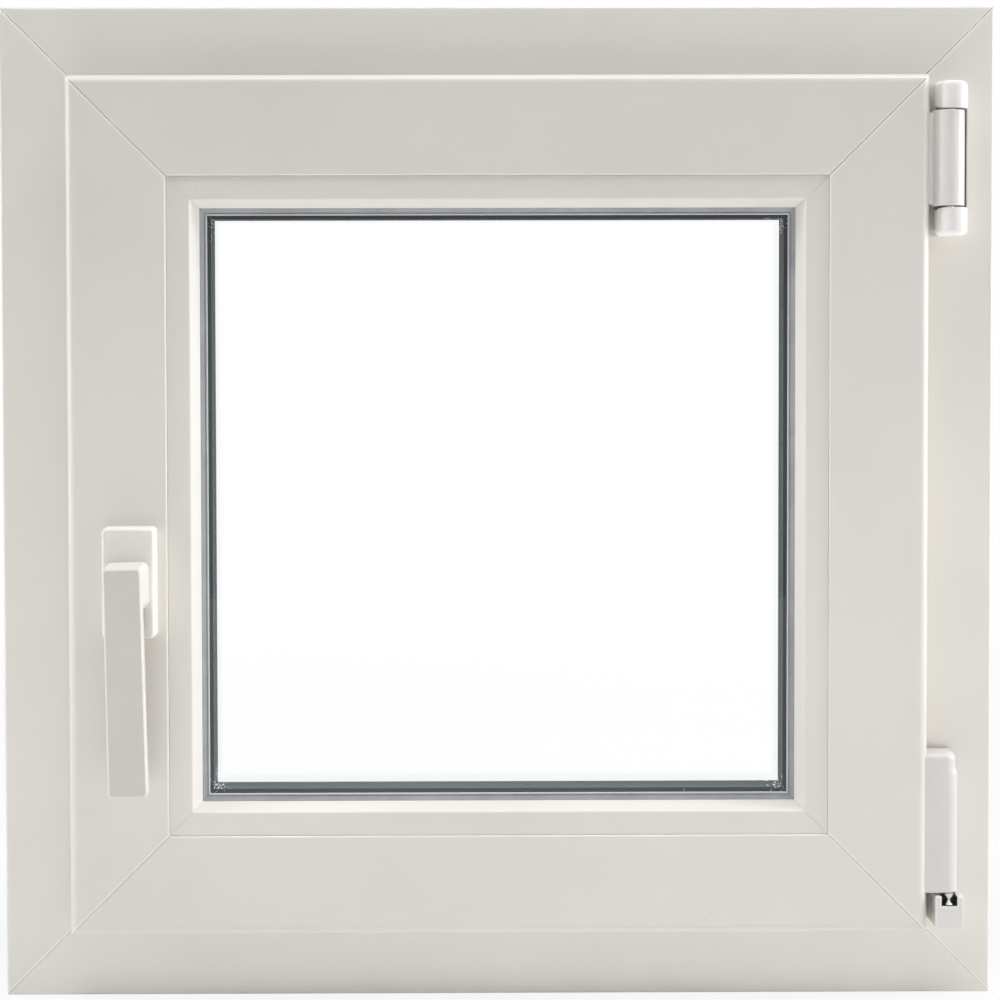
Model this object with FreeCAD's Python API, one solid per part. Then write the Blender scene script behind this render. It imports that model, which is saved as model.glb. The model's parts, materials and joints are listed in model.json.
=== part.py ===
"""Tilt and turn window: a white plastic sash with double glazing in a mitred frame.

The window is closed and seen from the room: +X is right, +Y goes outdoors, +Z is up.
The origin is on the frame's bottom face, at mid width and mid depth. All sizes are in millimetres.

Every profile is drawn in two coordinates: u, the distance from the frame's outer edge towards
the glass, and y, the depth. A bar is its profile swept along one side and cut by the mitres.
"""
import FreeCAD
import Part
import math
import os

from FreeCAD import Placement, Rotation, Vector

# Frame
WIDTH = 600.0
HEIGHT = 600.0
FRAME_DEPTH = 60.0
FRAME_FACE = 51.0
FRAME_LIP = 19.0
LIP_THICKNESS = 17.0
LIP_BEVEL = 9.0
FRAME_EDGE_RADIUS = 1.5
CLIP_GROOVE_WIDTH = 8.0
CLIP_GROOVE_DEPTH = 3.0
CLIP_GROOVE_OFFSET = 10.0
DRAIN_LENGTH = 28.0
DRAIN_HEIGHT = 5.0
DRAIN_DEPTH = 8.0
DRAIN_SPACING = 300.0
DRAIN_RISE = 20.0

# Sash
OVERLAP = 8.0
SASH_PROUD = 20.0
SASH_FACE = 60.0
SASH_EDGE_RADIUS = 5.5
SASH_CORNER_RADIUS = 3.0
REBATE_GAP = 12.0
FLANGE_GAP = 3.0
STOP_GAP = 3.0
UPSTAND_REACH = 20.0
UPSTAND_NOSE = 7.0
UPSTAND_BEVEL = 13.0

# Weld grooves at the mitres
WELD_GROOVE_WIDTH = 1.6
WELD_GROOVE_DEPTH = 0.8

# Glazing
GLASS_RECESS = 11.5
PANE_THICKNESS = 4.0
CAVITY = 16.0
GLASS_EDGE_GAP = 6.0
SPACER_HEIGHT = 7.5
SPACER_SIGHT = 2.0
OUTER_GASKET_THICKNESS = 3.5
OUTER_GASKET_WIDTH = 6.0
OUTER_GASKET_SIGHT = 1.0
BEAD_FLAT = 14.0
BEAD_SLOPE = 5.0
BEAD_GASKET_SIGHT = 4.0
BEAD_GASKET_THICKNESS = 2.1
BEAD_GASKET_BACK = 10.0
GASKET_RIDGE_WIDTH = 1.1
GASKET_RIDGE_HEIGHT = 0.5
BEAD_LINE = 0.12
BEAD_LINE_RADIUS = 1.2
BEAD_SETBACK = 0.9
BEAD_CORNER_RADIUS = 0.3
BEAD_MITRE_GAP = 0.06
BEAD_FOOT_LENGTH = 2.6
BEAD_FOOT_THICKNESS = 3.0
BEAD_FOOT_RECESS = 5.5
BEAD_FOOT_CLEARANCE = 0.2

# Weather gaskets
WEATHER_GASKET_INSET = 1.5
WEATHER_GASKET_WIDTH = 4.0
WEATHER_GASKET_RADIUS = 1.2

# Hinge axis and top hinge
HINGE_PLATE = 2.0
HINGE_CLEARANCE = 0.5
HINGE_AXIS_OUT = 12.9
BARREL_RADIUS = 9.6
HINGE_PIN_RADIUS = 3.0
PIN_CLEARANCE = 0.1
TOP_HINGE_DROP = 4.0
CAP_HEIGHT = 16.5
CAP_WALL = 2.0
CAP_END_CHAMFER = 2.4
CAP_END_STEP = 0.9
CAP_FOOT = 7.0
CAP_FOOT_DROP = 3.0
CAP_CLEARANCE = 0.3
BARREL_LENGTH = 56.8
BARREL_GAP = 1.0
BARREL_CHAMFER = 0.4
HOUSING_OFFSET = 1.0
HOUSING_WALL = 0.75
HOUSING_DEPTH = 14.0
LEAF_THICKNESS = 8.0
LEAF_ROOM_SIDE = 2.0
LEAF_END_INSET = 1.2

# Bottom hinge
BOTTOM_HINGE_RISE = 3.4
BLOCK_WIDTH = 16.8
BLOCK_HEIGHT = 19.0
BLOCK_PROUD = 1.0
BLOCK_EDGE_RADIUS = 1.8
BLOCK_CHAMFER = 0.3
BLOCK_FLOOR = 5.0
NOTCH_WIDTH = 9.4
NOTCH_HEIGHT = 5.8
COVER_LIFT = 1.6
COVER_HEIGHT = 83.5
COVER_RECESS = 1.4
COVER_WALL = 1.5
COVER_EDGE_RADIUS = 5.6
COVER_TOP_CHAMFER = 2.2
ARM_BARREL_WALL = 1.6
ARM_BARREL_HEIGHT = 30.0
ARM_LEAF_THICKNESS = 4.0
ARM_LEAF_HEIGHT = 70.0
COVER_CLEARANCE = 0.3

# Handle
HANDLE_INSET = 38.5
HANDLE_HEIGHT = 256.4
HANDLE_LEAN_DEG = 1.2
ROSETTE_WIDTH = 31.1
ROSETTE_HEIGHT = 65.2
ROSETTE_THICKNESS = 11.5
ROSETTE_CORNER_RADIUS = 3.0
ROSETTE_CHAMFER = 1.3
HANDLE_PROJECTION = 30.0
LEVER_LENGTH = 122.5
LEVER_WIDTH = 22.6
LEVER_END_WIDTH = 23.4
LEVER_THICKNESS = 11.0
LEVER_CORNER_RADIUS = 2.5
LEVER_EDGE_RADIUS = 1.4
NECK_BASE = 25.5
NECK_CHAMFER = 2.5
NECK_GAP = 0.3
SPIGOT_RADIUS = 8.0
SPIGOT_LENGTH = 4.0
SPIGOT_CLEARANCE = 0.1
SPINDLE_SQUARE = 7.0
SPINDLE_BORE_RADIUS = 6.0
SPINDLE_IN_SASH = 30.0
SPINDLE_END_GAP = 2.0
SPINDLE_IN_LEVER = 16.0

# Depths along y, from the room outwards
frame_room = -FRAME_DEPTH / 2
frame_out = FRAME_DEPTH / 2
sash_room = frame_room - SASH_PROUD
flange_back = frame_room - FLANGE_GAP
lip_room = frame_out - LIP_THICKNESS
sash_out = lip_room - STOP_GAP
glass_room = sash_room + GLASS_RECESS
cavity_room = glass_room + PANE_THICKNESS
cavity_out = cavity_room + CAVITY
glass_out = cavity_out + PANE_THICKNESS
upstand_room = glass_out + OUTER_GASKET_THICKNESS
bead_back = glass_room - BEAD_GASKET_THICKNESS
bead_room = sash_room + BEAD_SETBACK

# Distances u from the frame's outer edge towards the glass
flange_edge = FRAME_FACE - OVERLAP
rebate_face = FRAME_FACE + REBATE_GAP
lip_edge = FRAME_FACE + FRAME_LIP
bead_line = flange_edge + SASH_FACE
bead_edge = bead_line + BEAD_FLAT + BEAD_SLOPE
sight_line = bead_edge + BEAD_GASKET_SIGHT
upstand_edge = bead_line + UPSTAND_REACH
glass_edge = bead_line + GLASS_EDGE_GAP
spacer_edge = sight_line + SPACER_SIGHT

# Places
hinge_x = WIDTH / 2 - flange_edge + HINGE_AXIS_OUT
hinge_y = frame_room - HINGE_PLATE - HINGE_CLEARANCE - BARREL_RADIUS
sash_edge_x = WIDTH / 2 - flange_edge
handle_x = -sash_edge_x + HANDLE_INSET
rosette_room = sash_room - ROSETTE_THICKNESS
lever_room = sash_room - HANDLE_PROJECTION

# Each side's turn about Y, its length, and the middle of its outer edge
SIDE_TURN_DEG = {"bottom": 0, "right": -90, "top": 180, "left": 90}
side_length = {"bottom": WIDTH, "right": HEIGHT, "top": WIDTH, "left": HEIGHT}
side_middle = {"bottom": (0, 0, 0), "right": (WIDTH / 2, 0, HEIGHT / 2),
               "top": (0, 0, HEIGHT), "left": (-WIDTH / 2, 0, HEIGHT / 2)}


def rounded_wire(corners, to_space):
    """A closed wire through corners (a, b) or (a, b, radius), with tangent arcs at the radii."""
    flat = [Vector(c[0], c[1], 0) for c in corners]
    count = len(corners)
    starts, ends, middles = [], [], []
    for i, corner in enumerate(corners):
        here = flat[i]
        to_last = (flat[i - 1] - here).normalize()
        to_next = (flat[(i + 1) % count] - here).normalize()
        radius = corner[2] if len(corner) > 2 else 0
        half_angle = to_last.getAngle(to_next) / 2
        reach = radius / math.tan(half_angle)
        starts.append(here + to_last * reach)
        ends.append(here + to_next * reach)
        inward = (to_last + to_next).normalize()
        middles.append(here + inward * (radius / math.sin(half_angle) - radius))
    edges = []
    for i in range(count):
        if (starts[i] - ends[i]).Length > 1e-6:
            arc = Part.Arc(to_space(starts[i]), to_space(middles[i]), to_space(ends[i]))
            edges.append(arc.toShape())
        after = starts[(i + 1) % count]
        if (after - ends[i]).Length > 1e-6:
            edges.append(Part.LineSegment(to_space(ends[i]), to_space(after)).toShape())
    return Part.Wire(edges)


def face_at_y(corners, y):
    """A flat face across the depth, from corners (x, z[, radius])."""
    return Part.Face(rounded_wire(corners, lambda p: Vector(p.x, y, p.y)))


def face_at_z(corners, z):
    """A level face, from corners (x, y[, radius])."""
    return Part.Face(rounded_wire(corners, lambda p: Vector(p.x, p.y, z)))


def rectangle(low_a, low_b, high_a, high_b, radius=0.0):
    """Four corners of a rectangle, all with one radius."""
    return [(low_a, low_b, radius), (high_a, low_b, radius),
            (high_a, high_b, radius), (low_a, high_b, radius)]


def box(low, high):
    """A box between two opposite corners."""
    size = Vector(*high) - Vector(*low)
    return Part.makeBox(size.x, size.y, size.z, Vector(*low))


def upright_cylinder(radius, low_z, high_z, x=hinge_x):
    """A vertical cylinder on the hinge axis, or beside it at another x."""
    return Part.makeCylinder(radius, high_z - low_z, Vector(x, hinge_y, low_z))


def depth_cylinder(radius, low_y, high_y):
    """A cylinder along the depth, on the handle's axis."""
    base = Vector(handle_x, low_y, HANDLE_HEIGHT)
    return Part.makeCylinder(radius, high_y - low_y, base, Vector(0, 1, 0))


def edges_where(shape, test):
    """The edges whose centre passes a test."""
    return [edge for edge in shape.Edges if test(edge.CenterOfMass)]


def near(a, b):
    return abs(a - b) < 1e-4


# Bars: a profile along one side of the window, cut at 45 degrees

def mitred_bar(profile, length, end_gap=0.0):
    """The bottom bar of a ring, lying along X at z = u, with end_gap left at each mitre."""
    face = Part.Face(rounded_wire(profile, lambda p: Vector(-length / 2, p.y, p.x)))
    bar = face.extrude(Vector(length, 0, 0))
    half = length / 2 - end_gap
    corners = ((-half, 0), (half, 0), (0, half), (-half, 0))
    wedge = Part.makePolygon([Vector(t, -length, u) for t, u in corners])
    return bar.common(Part.Face(wedge).extrude(Vector(0, 2 * length, 0)))


def weld_groove(length, from_u, to_u, face_y, inward):
    """The shallow V that is cut along the mitre at a bar's +X end. inward is +1 or -1 along y."""
    across = Vector(1, 0, 1).normalize()
    along = Vector(-(to_u - from_u), 0, to_u - from_u)
    start = Vector(length / 2 - from_u, face_y, from_u)
    outside = Vector(0, -inward * WELD_GROOVE_DEPTH, 0)
    bottom = Vector(0, inward * WELD_GROOVE_DEPTH, 0)
    vee = Part.makePolygon([start + outside - across * WELD_GROOVE_WIDTH, start + bottom,
                            start + outside + across * WELD_GROOVE_WIDTH,
                            start + outside - across * WELD_GROOVE_WIDTH])
    return Part.Face(vee).extrude(along)


def mirrored(shape):
    return shape.mirror(Vector(0, 0, 0), Vector(1, 0, 0))


def turned(bar, side):
    """Moves a bottom bar to the side of the window that it belongs to."""
    bar.Placement = Placement(Vector(*side_middle[side]), Rotation(Vector(0, 1, 0), SIDE_TURN_DEG[side]))
    return bar


def corner_trim(inset, radius):
    """A prism with the ring's outer outline and rounded corners, to trim the welded corners."""
    outline = rectangle(inset - WIDTH / 2, inset, WIDTH / 2 - inset, HEIGHT - inset, radius)
    return face_at_y(outline, -WIDTH).extrude(Vector(0, 2 * WIDTH, 0))


def welded_bar(profile, side, grooves, inset, corner_radius):
    """A frame or sash bar with its weld grooves and its share of the rounded corners."""
    length = side_length[side]
    bar = mitred_bar(profile, length)
    for groove in grooves:
        vee = weld_groove(length, *groove)
        bar = bar.cut(vee).cut(mirrored(vee))
    return turned(bar, side).common(corner_trim(inset, corner_radius))


def ring(profile):
    """One closed ring of a profile, with its corners joined."""
    bars = [turned(mitred_bar(profile, length), side) for side, length in side_length.items()]
    return bars[0].fuse(bars[1:]).removeSplitter()


# Profiles

def frame_profile():
    """The outer frame: room face, rebate, outdoor stop lip, and clip grooves in the edge."""
    nose = frame_out - LIP_BEVEL
    corners = [(0, frame_room, FRAME_EDGE_RADIUS), (FRAME_FACE, frame_room, FRAME_EDGE_RADIUS),
               (FRAME_FACE, lip_room), (lip_edge, lip_room, FRAME_EDGE_RADIUS),
               (lip_edge, nose, FRAME_EDGE_RADIUS), (lip_edge - LIP_BEVEL, frame_out, FRAME_EDGE_RADIUS),
               (0, frame_out, FRAME_EDGE_RADIUS)]
    for centre in (CLIP_GROOVE_OFFSET, -CLIP_GROOVE_OFFSET):
        far, close = centre + CLIP_GROOVE_WIDTH / 2, centre - CLIP_GROOVE_WIDTH / 2
        corners += [(0, far), (CLIP_GROOVE_DEPTH, far), (CLIP_GROOVE_DEPTH, close), (0, close)]
    return corners


def bead_foot_depths(clearance=0.0):
    """Where the bead's foot lies in depth, widened by a clearance."""
    middle = sash_room + BEAD_FOOT_RECESS + BEAD_FOOT_THICKNESS / 2
    half = BEAD_FOOT_THICKNESS / 2 + clearance
    return middle - half, middle + half


def sash_profile():
    """The sash: overlapping flange, hardware rebate, outdoor upstand and the groove for the bead."""
    groove_room, groove_out = bead_foot_depths(BEAD_FOOT_CLEARANCE)
    groove_floor = bead_line - BEAD_FOOT_LENGTH - BEAD_FOOT_CLEARANCE
    nose = upstand_room + UPSTAND_NOSE
    bevel_end = upstand_edge - UPSTAND_BEVEL
    return [(flange_edge, sash_room, SASH_EDGE_RADIUS), (bead_line, sash_room, BEAD_LINE_RADIUS),
            (bead_line, groove_room), (groove_floor, groove_room), (groove_floor, groove_out),
            (bead_line, groove_out), (bead_line, upstand_room), (upstand_edge, upstand_room),
            (upstand_edge, nose, FRAME_EDGE_RADIUS), (bevel_end, sash_out, FRAME_EDGE_RADIUS),
            (rebate_face, sash_out, FRAME_EDGE_RADIUS), (rebate_face, flange_back),
            (flange_edge, flange_back, FRAME_EDGE_RADIUS)]


def bead_profile():
    """The glazing bead: flat face, slope towards the glass, and the foot that snaps into the sash."""
    foot_room, foot_out = bead_foot_depths()
    side = bead_line + BEAD_LINE
    foot_tip = bead_line - BEAD_FOOT_LENGTH
    return [(side, bead_room, BEAD_CORNER_RADIUS), (bead_line + BEAD_FLAT, bead_room, FRAME_EDGE_RADIUS),
            (bead_edge, bead_back, BEAD_CORNER_RADIUS), (side, bead_back), (side, foot_out),
            (foot_tip, foot_out), (foot_tip, foot_room), (side, foot_room)]


def bead_gasket_profile():
    """The grey lip between the bead and the glass, sloping from the bead to a low ridge at the sight line."""
    back = bead_edge - BEAD_GASKET_BACK
    valley = glass_room - BEAD_GASKET_THICKNESS / 4
    ridge_u = sight_line - GASKET_RIDGE_WIDTH
    return [(back, bead_back), (bead_edge, bead_back), (ridge_u, valley),
            (ridge_u, valley - GASKET_RIDGE_HEIGHT), (sight_line, valley - GASKET_RIDGE_HEIGHT / 2),
            (sight_line, glass_room), (back, glass_room)]


def outer_gasket_profile():
    """The gasket between the outer pane and the sash's upstand."""
    sight = upstand_edge + OUTER_GASKET_SIGHT
    return [(upstand_edge - OUTER_GASKET_WIDTH, glass_out), (sight, glass_out),
            (upstand_edge, upstand_room), (upstand_edge - OUTER_GASKET_WIDTH, upstand_room)]


def flange_gasket_profile():
    """The gasket on the flange's back that closes against the frame's room face."""
    near_u = flange_edge + WEATHER_GASKET_INSET
    far_u = near_u + WEATHER_GASKET_WIDTH
    return [(near_u, flange_back), (far_u, flange_back), (far_u, frame_room, WEATHER_GASKET_RADIUS),
            (near_u, frame_room, WEATHER_GASKET_RADIUS)]


def stop_gasket_profile():
    """The gasket on the frame's lip that the sash closes against."""
    near_u = rebate_face + WEATHER_GASKET_INSET
    far_u = near_u + WEATHER_GASKET_WIDTH
    return [(near_u, lip_room), (far_u, lip_room), (far_u, sash_out, WEATHER_GASKET_RADIUS),
            (near_u, sash_out, WEATHER_GASKET_RADIUS)]


def rectangle_profile(near_u, far_u, low_y, high_y):
    return [(near_u, low_y), (far_u, low_y), (far_u, high_y), (near_u, high_y)]


# Sub-parts

def frame_bars():
    grooves = [(0, FRAME_FACE, frame_room, 1), (0, lip_edge, frame_out, -1)]
    bars = {side: welded_bar(frame_profile(), side, grooves, 0, FRAME_EDGE_RADIUS) for side in side_length}
    for x in (-DRAIN_SPACING / 2, DRAIN_SPACING / 2):
        slot = rectangle(x - DRAIN_LENGTH / 2, DRAIN_RISE - DRAIN_HEIGHT / 2,
                         x + DRAIN_LENGTH / 2, DRAIN_RISE + DRAIN_HEIGHT / 2, DRAIN_HEIGHT * 0.49)
        bars["bottom"] = bars["bottom"].cut(face_at_y(slot, frame_out).extrude(Vector(0, -DRAIN_DEPTH, 0)))
    return {"frame_head": bars["top"], "frame_sill": bars["bottom"],
            "frame_jamb_handle_side": bars["left"], "frame_jamb_hinge_side": bars["right"]}


def sash_bars():
    grooves = [(flange_edge, bead_line, sash_room, 1), (rebate_face, upstand_edge, sash_out, -1)]
    bars = {side: welded_bar(sash_profile(), side, grooves, flange_edge, SASH_CORNER_RADIUS)
            for side in side_length}
    spindle_end = sash_room + SPINDLE_IN_SASH + SPINDLE_END_GAP
    bars["left"] = bars["left"].cut(depth_cylinder(SPINDLE_BORE_RADIUS, sash_room, spindle_end))
    return {"sash_top_rail": bars["top"], "sash_bottom_rail": bars["bottom"],
            "sash_stile_handle_side": bars["left"], "sash_stile_hinge_side": bars["right"]}


def glazing():
    parts = {}
    for side, length in side_length.items():
        bead = mitred_bar(bead_profile(), length, BEAD_MITRE_GAP)
        gasket = mitred_bar(bead_gasket_profile(), length, BEAD_MITRE_GAP)
        parts["glazing_bead_" + side] = turned(bead, side)
        parts["bead_gasket_" + side] = turned(gasket, side)
    edge_x, low_z, high_z = WIDTH / 2 - glass_edge, glass_edge, HEIGHT - glass_edge
    parts["inner_pane"] = box((-edge_x, glass_room, low_z), (edge_x, cavity_room, high_z))
    parts["outer_pane"] = box((-edge_x, cavity_out, low_z), (edge_x, glass_out, high_z))
    spacer_back = spacer_edge - SPACER_HEIGHT
    parts["spacer_bar"] = ring(rectangle_profile(spacer_back, spacer_edge, cavity_room, cavity_out))
    parts["edge_seal"] = ring(rectangle_profile(glass_edge, spacer_back, cavity_room, cavity_out))
    parts["outer_glazing_gasket"] = ring(outer_gasket_profile())
    return parts


def weather_gaskets():
    return {"sash_flange_gasket": ring(flange_gasket_profile()),
            "frame_stop_gasket": ring(stop_gasket_profile())}


def footed_column(column, foot, low_z, high_z, back_y, x=hinge_x):
    """A round column with a straight foot behind it, of half width foot, that reaches to back_y."""
    straight = box((x - foot, hinge_y, low_z), (x + foot, back_y, high_z))
    return column.fuse(straight).removeSplitter()


def hinge_cap(open_z, closed_z, back_y, hollow_radius, hollow_foot):
    """A moulded cup over one knuckle: its end at closed_z is domed and the other is open."""
    inward = math.copysign(1, open_z - closed_z)
    shoulder_z = closed_z + inward * CAP_END_CHAMFER
    x = hinge_x + HOUSING_OFFSET
    cap = upright_cylinder(BARREL_RADIUS, *sorted((open_z, closed_z)), x)
    cap = cap.makeChamfer(CAP_END_CHAMFER, edges_where(cap, lambda c: near(c.z, closed_z)))
    rims = edges_where(cap, lambda c: near(c.z, closed_z) or near(c.z, shoulder_z))
    cap = cap.makeChamfer(CAP_END_STEP, rims)
    foot_ends = sorted((open_z, closed_z + inward * CAP_FOOT_DROP))
    cap = footed_column(cap, CAP_FOOT, *foot_ends, back_y, x)
    hollow_ends = sorted((open_z, closed_z + inward * CAP_WALL))
    hollow = upright_cylinder(hollow_radius, *hollow_ends)
    return cap.cut(footed_column(hollow, hollow_foot, *hollow_ends, back_y))


def top_hinge():
    """The stay hinge: frame bearing with two capped knuckles, and the sash's barrel between them."""
    plate_room = frame_room - HINGE_PLATE
    top = HEIGHT - flange_edge - TOP_HINGE_DROP
    barrel_top = top - CAP_HEIGHT - BARREL_GAP
    barrel_bottom = barrel_top - BARREL_LENGTH
    bottom = barrel_bottom - BARREL_GAP - CAP_HEIGHT
    upper_cap_low, lower_cap_high = top - CAP_HEIGHT, bottom + CAP_HEIGHT
    pin_ends = (bottom + CAP_WALL + CAP_CLEARANCE, top - CAP_WALL - CAP_CLEARANCE)
    pin_hole = upright_cylinder(HINGE_PIN_RADIUS + PIN_CLEARANCE, bottom, top)
    hollow_radius = BARREL_RADIUS - CAP_WALL - HOUSING_OFFSET
    hollow_foot = CAP_FOOT - CAP_WALL - HOUSING_OFFSET
    knuckle_radius = hollow_radius - CAP_CLEARANCE
    knuckle_foot = hollow_foot - CAP_CLEARANCE

    plate_right = hinge_x + HOUSING_OFFSET + BARREL_RADIUS
    bearing = box((hinge_x - BARREL_RADIUS, plate_room, bottom), (plate_right, frame_room, top))
    side_wall = box((plate_right - HOUSING_WALL, frame_room - HOUSING_DEPTH, lower_cap_high),
                    (plate_right, frame_room, upper_cap_low))
    knuckles = []
    for ends in ((upper_cap_low, pin_ends[1]), (pin_ends[0], lower_cap_high)):
        column = upright_cylinder(knuckle_radius, *ends)
        knuckles.append(footed_column(column, knuckle_foot, *ends, plate_room))
    bearing = bearing.fuse([side_wall] + knuckles).removeSplitter().cut(pin_hole)

    barrel = upright_cylinder(BARREL_RADIUS, barrel_bottom, barrel_top)
    rim = edges_where(barrel, lambda c: near(c.z, barrel_bottom) or near(c.z, barrel_top))
    barrel = barrel.makeChamfer(BARREL_CHAMFER, rim)
    leaf = box((sash_edge_x, hinge_y - LEAF_ROOM_SIDE, barrel_bottom + LEAF_END_INSET),
               (hinge_x, hinge_y - LEAF_ROOM_SIDE + LEAF_THICKNESS, barrel_top - LEAF_END_INSET))
    return {"top_hinge_frame_bearing": bearing,
            "top_hinge_barrel": barrel.fuse(leaf).removeSplitter().cut(pin_hole),
            "top_hinge_pin": upright_cylinder(HINGE_PIN_RADIUS, *pin_ends),
            "top_hinge_cap_upper": hinge_cap(upper_cap_low, top, plate_room, hollow_radius, hollow_foot),
            "top_hinge_cap_lower": hinge_cap(lower_cap_high, bottom, plate_room, hollow_radius, hollow_foot)}


def bottom_hinge():
    """The corner hinge: a block on the frame with an upright pin, and the sash's arm under a cover."""
    plate_room = frame_room - HINGE_PLATE
    low = flange_edge + BOTTOM_HINGE_RISE
    high = low + BLOCK_HEIGHT
    cover_low = high + COVER_LIFT
    cover_high = cover_low + COVER_HEIGHT
    half = BLOCK_WIDTH / 2
    block_room = sash_room - BLOCK_PROUD
    pin_hole_radius = HINGE_PIN_RADIUS + PIN_CLEARANCE

    outline = [(hinge_x - half, frame_room), (hinge_x - half, block_room, BLOCK_EDGE_RADIUS),
               (hinge_x + half, block_room, BLOCK_EDGE_RADIUS), (hinge_x + half, frame_room)]
    block = face_at_z(outline, low).extrude(Vector(0, 0, BLOCK_HEIGHT))
    rim = edges_where(block, lambda c: near(c.z, low) and c.y < plate_room)
    block = block.makeChamfer(BLOCK_CHAMFER, rim)
    block = block.cut(upright_cylinder(pin_hole_radius, low + BLOCK_FLOOR, high))
    notch = box((hinge_x - NOTCH_WIDTH / 2, block_room, high - NOTCH_HEIGHT),
                (hinge_x + NOTCH_WIDTH / 2, hinge_y + HINGE_PIN_RADIUS + HINGE_CLEARANCE, high))
    parts = {"bottom_hinge_frame_block": block.cut(notch)}

    arm_low = cover_low + COVER_CLEARANCE
    arm_top = arm_low + ARM_BARREL_HEIGHT
    parts["bottom_hinge_pin"] = upright_cylinder(HINGE_PIN_RADIUS, low + BLOCK_FLOOR, arm_top - COVER_WALL)
    arm_radius = HINGE_PIN_RADIUS + PIN_CLEARANCE + ARM_BARREL_WALL
    arm = upright_cylinder(arm_radius, arm_low, arm_top)
    leaf = box((sash_edge_x, hinge_y - ARM_LEAF_THICKNESS / 2, arm_low),
               (hinge_x, hinge_y + ARM_LEAF_THICKNESS / 2, arm_low + ARM_LEAF_HEIGHT))
    bore = upright_cylinder(pin_hole_radius, arm_low, arm_top - COVER_WALL)
    parts["bottom_hinge_sash_arm"] = arm.fuse(leaf).removeSplitter().cut(bore)

    cover_room = sash_room + COVER_RECESS
    inner_x = hinge_x + arm_radius + COVER_CLEARANCE
    outer_x = inner_x + COVER_WALL
    shell = [(sash_edge_x, plate_room), (sash_edge_x, cover_room),
             (outer_x, cover_room, COVER_EDGE_RADIUS), (outer_x, plate_room)]
    cover = face_at_z(shell, cover_low).extrude(Vector(0, 0, COVER_HEIGHT))
    rim = edges_where(cover, lambda c: near(c.z, cover_high) and c.x > sash_edge_x + COVER_WALL
                      and c.y < plate_room - COVER_WALL)
    cover = cover.makeChamfer(COVER_TOP_CHAMFER, rim)
    hollow = [(sash_edge_x, plate_room), (sash_edge_x, cover_room + COVER_WALL),
              (inner_x, cover_room + COVER_WALL, COVER_EDGE_RADIUS - COVER_WALL), (inner_x, plate_room)]
    inside = face_at_z(hollow, cover_low).extrude(Vector(0, 0, COVER_HEIGHT - COVER_TOP_CHAMFER))
    parts["bottom_hinge_cover"] = cover.cut(inside)
    return parts


def handle_outline(half_width, low, high, low_half_width=None, radius=0.0):
    """A rounded outline about the handle's axis, in x and z."""
    end = half_width if low_half_width is None else low_half_width
    return [(handle_x - end, HANDLE_HEIGHT + low, radius),
            (handle_x + end, HANDLE_HEIGHT + low, radius),
            (handle_x + half_width, HANDLE_HEIGHT + high, radius),
            (handle_x - half_width, HANDLE_HEIGHT + high, radius)]


def tapered_neck(base_width, base_y, front_width, front_y):
    """The square neck, which narrows from the rosette to the lever, with its long edges chamfered."""
    wires = []
    for width, y in ((base_width, base_y), (front_width, front_y)):
        square = handle_outline(width / 2, -width / 2, width / 2)
        wires.append(face_at_y(square, y).OuterWire)
    neck = Part.makeLoft(wires, True, True)
    middle_y = (base_y + front_y) / 2
    return neck.makeChamfer(NECK_CHAMFER, edges_where(neck, lambda c: near(c.y, middle_y)))


def handle():
    """The handle: a rosette on the sash, and a lever whose neck turns in it on a square spindle."""
    half_w, half_h = ROSETTE_WIDTH / 2, ROSETTE_HEIGHT / 2
    outline = handle_outline(half_w, -half_h, half_h, radius=ROSETTE_CORNER_RADIUS)
    rosette = face_at_y(outline, rosette_room).extrude(Vector(0, ROSETTE_THICKNESS, 0))
    rim = edges_where(rosette, lambda c: near(c.y, rosette_room))
    rosette = rosette.makeChamfer(ROSETTE_CHAMFER, rim)
    spigot_end = rosette_room + SPIGOT_LENGTH
    collar_radius = SPIGOT_RADIUS + SPIGOT_CLEARANCE
    rosette = rosette.cut(depth_cylinder(collar_radius, rosette_room, spigot_end + NECK_GAP))
    rosette = rosette.cut(depth_cylinder(SPINDLE_BORE_RADIUS, rosette_room, sash_room))

    neck_out = rosette_room - NECK_GAP
    half_lever = LEVER_WIDTH / 2
    lever_back = lever_room + LEVER_THICKNESS
    neck = tapered_neck(NECK_BASE, neck_out, LEVER_WIDTH, lever_room + LEVER_EDGE_RADIUS)
    bar_outline = handle_outline(half_lever, -LEVER_LENGTH, half_lever,
                                 LEVER_END_WIDTH / 2, LEVER_CORNER_RADIUS)
    bar = face_at_y(bar_outline, lever_room).extrude(Vector(0, LEVER_THICKNESS, 0))
    rims = edges_where(bar, lambda c: near(c.y, lever_room) or near(c.y, lever_back))
    bar = bar.makeFillet(LEVER_EDGE_RADIUS, rims)
    spigot = depth_cylinder(SPIGOT_RADIUS, neck_out, spigot_end)
    lever = bar.fuse([neck, spigot]).removeSplitter()

    half_square = SPINDLE_SQUARE / 2
    socket = box((handle_x - half_square, spigot_end - SPINDLE_IN_LEVER, HANDLE_HEIGHT - half_square),
                 (handle_x + half_square, spigot_end, HANDLE_HEIGHT + half_square))
    spindle = box((handle_x - half_square, spigot_end - SPINDLE_IN_LEVER, HANDLE_HEIGHT - half_square),
                  (handle_x + half_square, sash_room + SPINDLE_IN_SASH, HANDLE_HEIGHT + half_square))
    moving = {"handle_lever": lever.cut(socket), "handle_spindle": spindle}
    axis = Vector(handle_x, 0, HANDLE_HEIGHT)
    for shape in moving.values():
        shape.rotate(axis, Vector(0, -1, 0), HANDLE_LEAN_DEG)
    return {"handle_rosette": rosette, **moving}


def window():
    parts = {}
    for group in (frame_bars, sash_bars, glazing, weather_gaskets, top_hinge, bottom_hinge, handle):
        parts.update(group())
    return parts


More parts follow.
